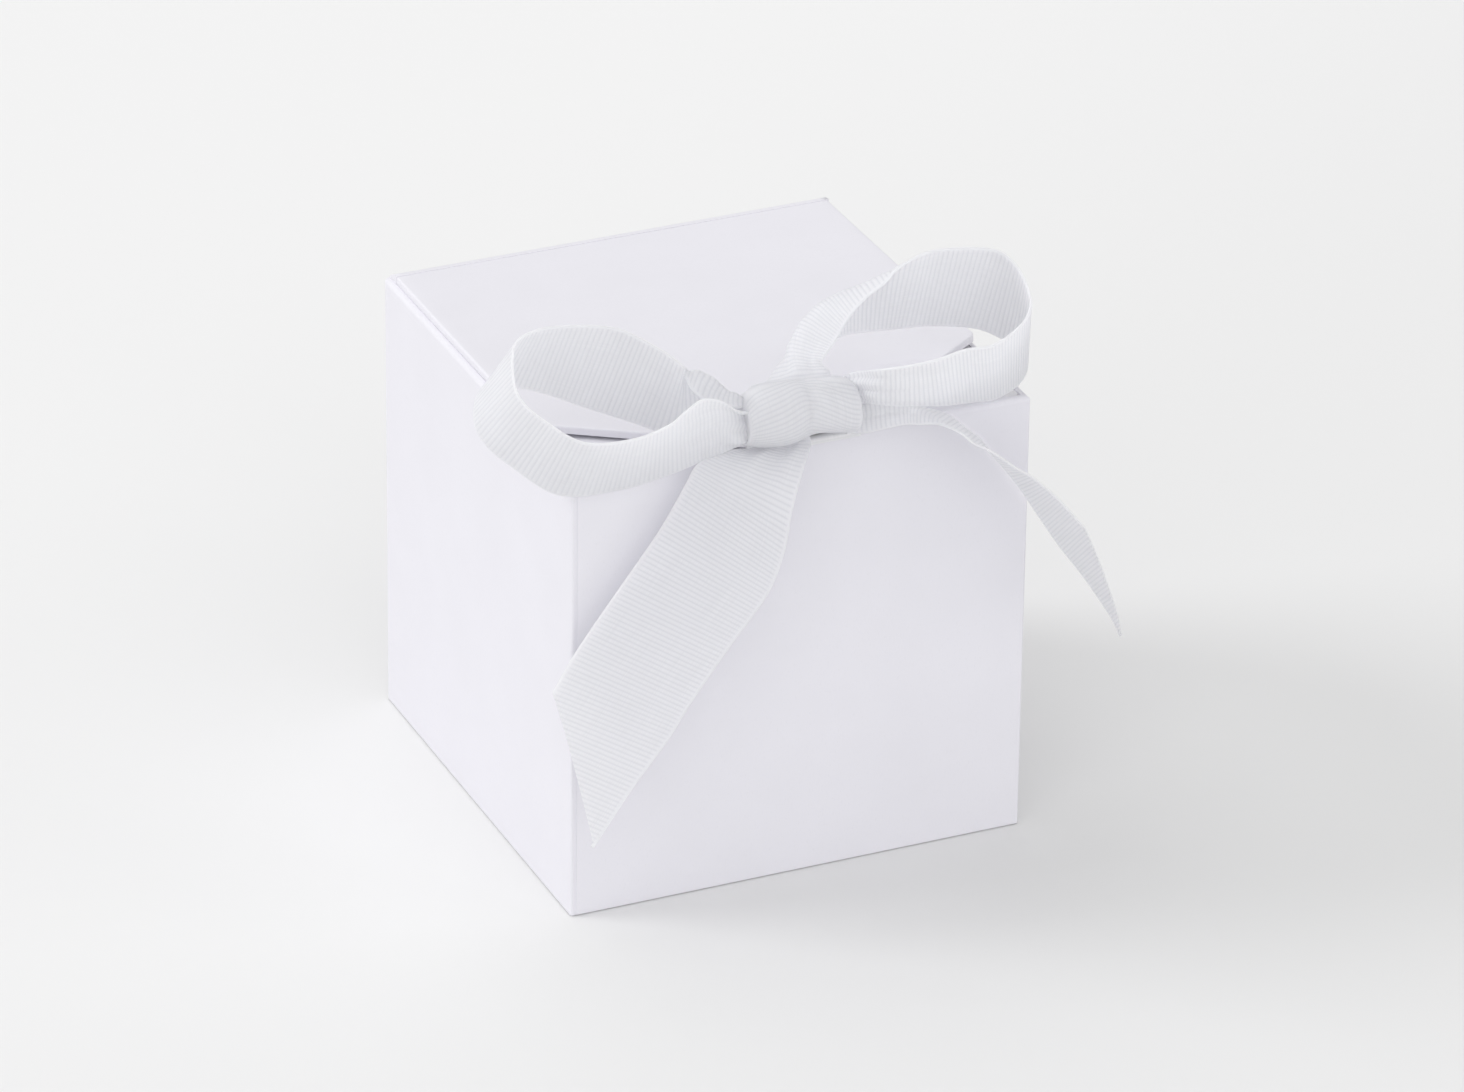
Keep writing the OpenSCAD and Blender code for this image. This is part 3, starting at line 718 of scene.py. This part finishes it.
SIDE_TAIL = [
    [[8.8, -50.9, 101.5], [7.7, -53.0, 106.1], [7.6, -53.5, 99.9]],
    [[12.2, -50.9, 101.3], [10.9, -53.5, 106.1], [11.0, -54.5, 99.9]],
    [[16.1, -51.1, 102.0], [14.9, -54.0, 106.1], [14.8, -55.8, 100.7]],
    [[20.1, -51.3, 102.2], [18.8, -55.0, 105.3], [18.4, -57.5, 101.7]],
    [[26.0, -51.5, 101.0], [22.0, -57.0, 103.8], [20.6, -60.0, 102.5]],
    [[30.2, -51.5, 99.1], [24.4, -60.0, 103.0], [22.8, -63.0, 103.6]],
    [[32.7, -51.5, 97.0], [26.8, -61.0, 101.7], [24.0, -66.0, 104.1]],
    [[35.2, -51.5, 94.5], [25.3, -69.5, 104.0]],
    [[37.9, -51.5, 92.0], [27.0, -71.4, 102.5]],
    [[39.8, -51.5, 89.3], [30.2, -71.7, 100.5]],
    [[41.4, -51.5, 87.2], [33.2, -72.4, 98.2]],
    [[43.4, -51.7, 84.7], [35.9, -72.8, 95.9]],
    [[45.8, -52.0, 81.2], [38.9, -72.6, 93.6]],
    [[48.1, -52.0, 77.8], [41.9, -72.5, 90.8]],
    [[51.6, -52.5, 71.9], [46.2, -72.2, 86.2]],
    [[56.1, -53.0, 64.6], [51.4, -72.4, 79.6]],
    [[60.6, -53.5, 58.2], [56.0, -73.0, 73.1]],
    [[64.1, -54.0, 52.7], [59.5, -73.6, 67.5]],
    [[67.7, -54.5, 46.6], [63.0, -74.1, 61.4]],
    [[69.8, -54.5, 42.0], [64.9, -74.2, 56.6]],
]
SIDE_WAVES = [0.5, 0.5, 0.4, 0.3, 0.15] + [0] * 15
SIDE_CUT = 15

KNOT_LEFT = np.array([-15.3, -53.4, 106.4])
KNOT_RIGHT = np.array([8.5, -53.4, 106.1])
# Places along the knot from its left end to its right, with its half height and its middle's lift there.
KNOT_STATIONS = [
    (0.00, 3.9, 0.0), (0.05, 5.0, 0.8), (0.12, 5.7, 1.0), (0.26, 6.1, 0.9), (0.40, 6.0, 0.8),
    (0.53, 5.7, 1.1), (0.62, 5.5, 1.1), (0.82, 5.8, 0.7), (0.94, 5.8, 0.3), (1.00, 5.4, 0.1),
]
KNOT_STEPS = 10
KNOT_LINE = smooth_rows(KNOT_STATIONS, KNOT_STEPS)
KNOT_SCALE = 1.02
KNOT_LIFT = 1.13
# Places along the knot and how far the ribs turn there, in radians.
RIB_TURNS = [(0, -0.26), (0.27, 0.0), (0.45, 0.24), (0.57, 0.22), (0.72, -0.05), (0.88, -0.34), (1, -0.42)]
RIB_TURN_LINE = smooth_rows(RIB_TURNS, KNOT_STEPS)

# Creases of the knot: depths in millimetres, places, slants and widths as shares of its length, and angles
# and spreads in radians. A valley runs up its front.
VALLEY_DEPTH = 0.9
VALLEY_AT_SHARE = 0.54
VALLEY_SLANT_SHARE = 0.04
VALLEY_W_SHARE = 0.055
VALLEY_ANGLE = 0.5
# Two pleats lie on its top.
PLEAT_DEPTH = 0.42
PLEATS_AT_SHARES = (0.655, 0.745)
PLEAT_SLANT_SHARE = 0.14
PLEAT_W_SHARE = 0.028
PLEAT_ANGLE = 1.05
PLEAT_SPREAD = 0.5
PLEAT_TOP = 1.4
# A tuck lies beneath its right half.
TUCK_DEPTH = 1.2
TUCK_AT_SHARE = 0.5
TUCK_RAMP_SHARE = 0.2
TUCK_ANGLE = -1.45
TUCK_SPREAD = 0.55

# The turn over the knot: its rows, the first one's angle and the step to the next in degrees, and the row
# from which it sinks in, with its sinking for each row in millimetres.
WRAP_ROWS = 22
WRAP_START = 136
WRAP_STEP = 11.5
SUNK_FROM = 18
SUNK_STEP = 0.5
# Behind the knot it is gathered, from an angle on: what that takes from its left and right, and its slant.
GATHER_ANGLE = 1.6
GATHER_RAMP = 0.75
GATHER_LEFT_SHARE = 0.21
GATHER_RIGHT_SHARE = 0.16
GATHER_SLANT = 0.62
# Its ribs turn from an angle on, and less again towards its foot.
TURN_ANGLE = 2.15
TURN_RAMP = 0.7
FOOT_ANGLE = -1.0
FOOT_RAMP = 1.1
FOOT_SHARE = 0.3

# The core: its rings and their points, its inset at both ends and all round, and the ridges of its layers,
# with their number and their height in millimetres, and the twist of the broad ones.
CORE_RINGS = 41
CORE_POINTS = 72
CORE_END_SHARE = 0.006
CORE_INSET = 0.42
BROAD_RIDGES = 9
BROAD_HEIGHT = 0.12
BROAD_TWIST = 2
FINE_RIDGES = 17
FINE_HEIGHT = 0.05


def soft_step(x):
    """A smooth rise from 0 to 1."""
    x = min(1.0, max(0.0, x))
    return x * x * (3 - 2 * x)


def bell(x, width):
    """A smooth rise and fall, 1 at the middle."""
    return math.exp(-((x / width) ** 2))


def knot_surface(u, angle, inset=0.0):
    """A point on the knot: u runs from its left end to its right, the angle from its front over its top."""
    size, lift = (float(np.interp(u, KNOT_LINE[:, 0], KNOT_LINE[:, k])) for k in (1, 2))
    facing = max(0.0, math.cos(angle - VALLEY_ANGLE))
    beside = u - VALLEY_AT_SHARE - VALLEY_SLANT_SHARE * math.sin(angle)
    crease = VALLEY_DEPTH * facing * bell(beside, VALLEY_W_SHARE)
    top = bell(angle - PLEAT_ANGLE, PLEAT_SPREAD)
    for pleat in PLEATS_AT_SHARES:
        beside = u - pleat - PLEAT_SLANT_SHARE * (PLEAT_TOP - angle)
        crease += PLEAT_DEPTH * top * bell(beside, PLEAT_W_SHARE)
    tucked = soft_step((u - TUCK_AT_SHARE) / TUCK_RAMP_SHARE)
    tuck = TUCK_DEPTH * tucked * bell(angle - TUCK_ANGLE, TUCK_SPREAD)
    reach = size * KNOT_SCALE - inset - crease - tuck
    centre = KNOT_LEFT + (KNOT_RIGHT - KNOT_LEFT) * u
    return centre + np.array([0, -math.cos(angle) * reach, math.sin(angle) * reach + lift * KNOT_LIFT])


def wrap_rows():
    """The ribbon's turn over the knot: it spreads out on top, runs down the front and is tucked in below."""
    rows = []
    for k in range(WRAP_ROWS):
        angle = math.radians(WRAP_START - WRAP_STEP * k)
        gathered = soft_step((angle - GATHER_ANGLE) / GATHER_RAMP)
        low, high = GATHER_LEFT_SHARE * gathered, 1 - GATHER_RIGHT_SHARE * gathered
        foot = FOOT_SHARE + (1 - FOOT_SHARE) * soft_step((angle - FOOT_ANGLE) / FOOT_RAMP)
        turned = soft_step((TURN_ANGLE - angle) / TURN_RAMP) * foot
        sunk = max(0, k - SUNK_FROM) * SUNK_STEP
        row = []
        for place in column_places():
            u = low + (high - low) * place
            turn = turned * float(np.interp(u, RIB_TURN_LINE[:, 0], RIB_TURN_LINE[:, 1]))
            row.append(knot_surface(u, angle + turn - GATHER_SLANT * u * gathered, sunk))
        rows.append(row)
    return rows


def knot_core():
    """The bunched layers inside the knot, seen at its two ends and from behind."""
    points = []
    for i in range(CORE_RINGS):
        u = CORE_END_SHARE + (1 - 2 * CORE_END_SHARE) * i / (CORE_RINGS - 1)
        for k in range(CORE_POINTS):
            angle = 2 * math.pi * k / CORE_POINTS
            broad = BROAD_HEIGHT * math.cos(BROAD_RIDGES * angle + BROAD_TWIST * u)
            fine = FINE_HEIGHT * math.cos(FINE_RIDGES * angle)
            points.append(knot_surface(u, angle, CORE_INSET + broad + fine))
    faces = tube_faces(CORE_RINGS, CORE_POINTS)
    piece = make_piece("ribbon_knot_core", points, faces, "lid", "white_ribbon")
    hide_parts("bow_knot")
    return piece


left_loop, left_len, left_area = ribbon_piece("ribbon_left_loop", LEFT_LOOP, "lid", LEFT_WAVES, phase=0.7)
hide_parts("left_loop")
right_loop, right_len, right_area = ribbon_piece(
    "ribbon_right_loop", RIGHT_LOOP + wrap_rows(), "lid", RIGHT_WAVES + [0] * WRAP_ROWS, phase=2.0
)
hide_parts("right_loop")
front_tail, front_len, front_area = ribbon_piece(
    "ribbon_front_tail", FRONT_TAIL, "lid", FRONT_WAVES, cut_row=FRONT_CUT, kept=1
)
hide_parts("front_tail")
side_tail, side_len, side_area = ribbon_piece(
    "ribbon_side_tail", SIDE_TAIL, "lid", SIDE_WAVES, cut_row=SIDE_CUT, kept=0
)
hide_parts("side_tail")
core = knot_core()

# The two glued ribbon ends: the first as y and z, the second as the x of its right selvedge, y and z.
HALF_RIBBON = RIBBON_W / 2
WALL_LINE = (
    (-48.15, 62.3), (-48.15, 80.0), (-48.15, 96.6), (-48.3, 97.7), (-48.8, 98.15), (-49.4, 98.15),
    (-49.8, 97.8), (-49.86, 97.0),
)
LID_LINE = (
    (HALF_RIBBON, -15.0, 98.2), (HALF_RIBBON, -30.0, 98.2), (HALF_RIBBON, -45.0, 98.2), (6.0, -48.8, 98.22),
    (1.0, -50.0, 98.5), (-0.5, -50.28, 99.4), (-1.0, -50.3, 100.2),
)
wall_rows = [[[-HALF_RIBBON, y, z], [HALF_RIBBON, y, z]] for y, z in WALL_LINE]
wall_ribbon, wall_len, wall_area = ribbon_piece("ribbon_on_wall", wall_rows, "box")
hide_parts("wall_ribbon")
lid_rows = [[[-HALF_RIBBON, y, z], [right, y, z]] for right, y, z in LID_LINE]
lid_ribbon, lid_len, lid_area = ribbon_piece("ribbon_under_lid", lid_rows, "lid", lift=lid_rise)
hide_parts("lid_ribbon")
for glued in (wall_ribbon, lid_ribbon):
    glued.data.materials[0] = glued_grosgrain


# Floor, lights and camera

# Painted light and shade: the floor's colour darkens along a slope from its back left to its front right,
# between two places in metres.
FLOOR_HALF = 3.0
FLOOR_Z = -0.00004
FLOOR_COLOUR = (0.825, 0.825, 0.825)
FLOOR_PAINTED_LIGHT, FLOOR_PAINTED_SHADE = shade(FLOOR_COLOUR, 1.03), shade(FLOOR_COLOUR, 0.955)
FLOOR_SHADE_SLOPE = (1.0, -1.3, 0.0)
FLOOR_SHADE_FROM, FLOOR_SHADE_TO = -0.35, 0.25


def floor_material():
    """A matt floor with painted light and shade: its tone changes slowly, lighter at the back left and darker
    at the front right.
    """
    mat, nodes, links, shader = new_material("floor", roughness=0.9, specular=0.1)
    place = nodes.new("ShaderNodeTexCoord")
    slope = nodes.new("ShaderNodeVectorMath")
    slope.operation = "DOT_PRODUCT"
    slope.inputs[1].default_value = FLOOR_SHADE_SLOPE
    links.new(place.outputs["Object"], slope.inputs[0])
    fade = nodes.new("ShaderNodeMapRange")
    fade.interpolation_type = "SMOOTHSTEP"
    fade.inputs["From Min"].default_value = FLOOR_SHADE_FROM
    fade.inputs["From Max"].default_value = FLOOR_SHADE_TO
    links.new(slope.outputs["Value"], fade.inputs["Value"])
    # Painted light and shade: the floor's colour is mixed from a lighter and a darker tone along the slope.
    tone = mix_colour(nodes, links, fade.outputs["Result"], FLOOR_PAINTED_LIGHT, FLOOR_PAINTED_SHADE)
    links.new(tone, shader.inputs["Base Color"])
    return mat


floor_mesh = bpy.data.meshes.new("floor")
floor_corners = [(x * FLOOR_HALF, y * FLOOR_HALF, FLOOR_Z) for x, y in ((-1, -1), (1, -1), (1, 1), (-1, 1))]
floor_mesh.from_pydata(floor_corners, [], [[0, 1, 2, 3]])
floor_mesh.materials.append(floor_material())
floor = bpy.data.objects.new("floor", floor_mesh)
bpy.context.scene.collection.objects.link(floor)

WORLD_STRENGTH = 0.53
world = bpy.data.worlds.new("studio")
bpy.context.scene.world = world
world.use_nodes = True
background = world.node_tree.nodes["Background"]
background.inputs["Color"].default_value = (1.0, 1.0, 1.0, 1.0)
background.inputs["Strength"].default_value = WORLD_STRENGTH

# Soft lights: the direction that each comes from and its height, its strength, and its width. Angles are in
# degrees.
LIGHTS = (
    ("window", 154, 31, 1, 26),
    ("above", 110, 68, 0.6, 50),
    ("room", 250, 20, 1.27, 90),
    ("side", 330, 18, 0.35, 34),
)
for light_name, bearing, height, strength, width in LIGHTS:
    light_data = bpy.data.lights.new(light_name, "SUN")
    light_data.energy = strength
    light_data.angle = math.radians(width)
    light = bpy.data.objects.new(light_name, light_data)
    bpy.context.scene.collection.objects.link(light)
    around, tilt = math.radians(bearing), math.radians(height)
    level = math.cos(tilt)
    come_from = Vector((math.cos(around) * level, math.sin(around) * level, math.sin(tilt)))
    light.rotation_mode = "QUATERNION"
    light.rotation_quaternion = come_from.to_track_quat("Z", "Y")

CAMERA_AT = Vector((-0.6445, -1.4601, 0.8861))
CAMERA_FORWARD = Vector((0.36095, 0.80905, -0.46384)).normalized()
CAMERA_ROLL = math.radians(0.728)
CAMERA_LENS = 215.03
CAMERA_SENSOR = 36.0
CAMERA_CLIP = (0.1, 20.0)
side = CAMERA_FORWARD.cross(Vector((0, 0, 1))).normalized()
up = side.cross(CAMERA_FORWARD)
right_axis = math.cos(CAMERA_ROLL) * side + math.sin(CAMERA_ROLL) * up
up_axis = math.cos(CAMERA_ROLL) * up - math.sin(CAMERA_ROLL) * side
camera_data = bpy.data.cameras.new("camera")
camera_data.lens = CAMERA_LENS
camera_data.sensor_width = CAMERA_SENSOR
camera_data.clip_start, camera_data.clip_end = CAMERA_CLIP
camera = bpy.data.objects.new("camera", camera_data)
bpy.context.scene.collection.objects.link(camera)
camera_axes = Matrix((right_axis, up_axis, -CAMERA_FORWARD)).transposed()
camera.matrix_world = Matrix.Translation(CAMERA_AT) @ camera_axes.to_4x4()
bpy.context.scene.camera = camera
bpy.context.scene.view_settings.view_transform = "Standard"
